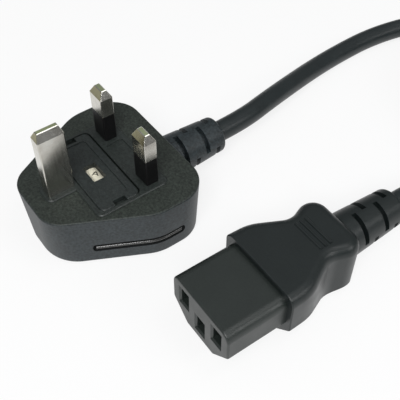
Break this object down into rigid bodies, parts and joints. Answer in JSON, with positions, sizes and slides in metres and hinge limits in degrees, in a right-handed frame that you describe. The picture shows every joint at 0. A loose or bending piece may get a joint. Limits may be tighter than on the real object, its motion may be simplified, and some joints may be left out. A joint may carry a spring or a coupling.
{
  "type": "three pin mains plug on a lead with an appliance connector",
  "caption": "Moulded fused three-pin mains plug with sleeved flat pins, on a flexible cord that ends in an appliance connector.",
  "frame": {"origin": "on the plug's flat back face, straight below the line through the two power pins and midway between them", "axes": "+Z out of the back towards the pins, +Y from the earth pin towards the cord, +X from the neutral pin towards the live pin"},
  "size_m": [0.1325, 0.2279, 0.0422],
  "materials": {
    "plug_moulding": "moulded PVC, fine spark texture on the pin face, satin on the walls",
    "hard_bridge": "moulded nylon, fine matt",
    "fuse_carrier": "moulded nylon, fine matt",
    "pin_metal": "nickel plated, satin",
    "pin_sleeve": "moulded, smooth satin",
    "clip_brass": "pressed strip, bright",
    "fuse_ceramic": "unglazed, fine matt",
    "fuse_cap": "nickel plated, bright",
    "fuse_wire": "tinned, drawn",
    "core_blue": "extruded PVC, satin",
    "core_brown": "extruded PVC, satin",
    "core_green_yellow": "extruded PVC, satin",
    "cord": "extruded PVC, satin",
    "connector_grip": "moulded PVC, satin",
    "connector_insert": "moulded nylon, smooth satin"
  },
  "bodies": {
    "plug_and_lead": {"plug_body": "plug_moulding", "pin_bridge": "hard_bridge", "earth_pin": "pin_metal", "live_pin": "pin_metal", "neutral_pin": "pin_metal", "live_pin_sleeve": "pin_sleeve", "neutral_pin_sleeve": "pin_sleeve", "load_fuse_clip": "clip_brass", "supply_fuse_clip": "clip_brass", "plug_neutral_core": "core_blue", "plug_line_core": "core_brown", "plug_earth_core": "core_green_yellow", "plug_cord_end": "cord", "connector_grip": "connector_grip", "connector_insert": "connector_insert", "connector_neutral_contact": "clip_brass", "connector_earth_contact": "clip_brass", "connector_line_contact": "clip_brass", "connector_neutral_core": "core_blue", "connector_line_core": "core_brown", "connector_earth_core": "core_green_yellow", "connector_cord_end": "cord", "plug_cord_run": "cord", "connector_cord_run": "cord", "cord_coil": "cord"},
    "carrier_and_fuse": {"fuse_carrier": "fuse_carrier", "fuse_tube": "fuse_ceramic", "fuse_wire": "fuse_wire", "supply_fuse_cap": "fuse_cap", "load_fuse_cap": "fuse_cap"}
  },
  "joints": [
    {"name": "fuse_carrier_lift", "type": "slide", "parent": "plug_and_lead", "child": "carrier_and_fuse", "axis": [0, 0, 1], "range_m": [0, 0.02]}
  ]
}
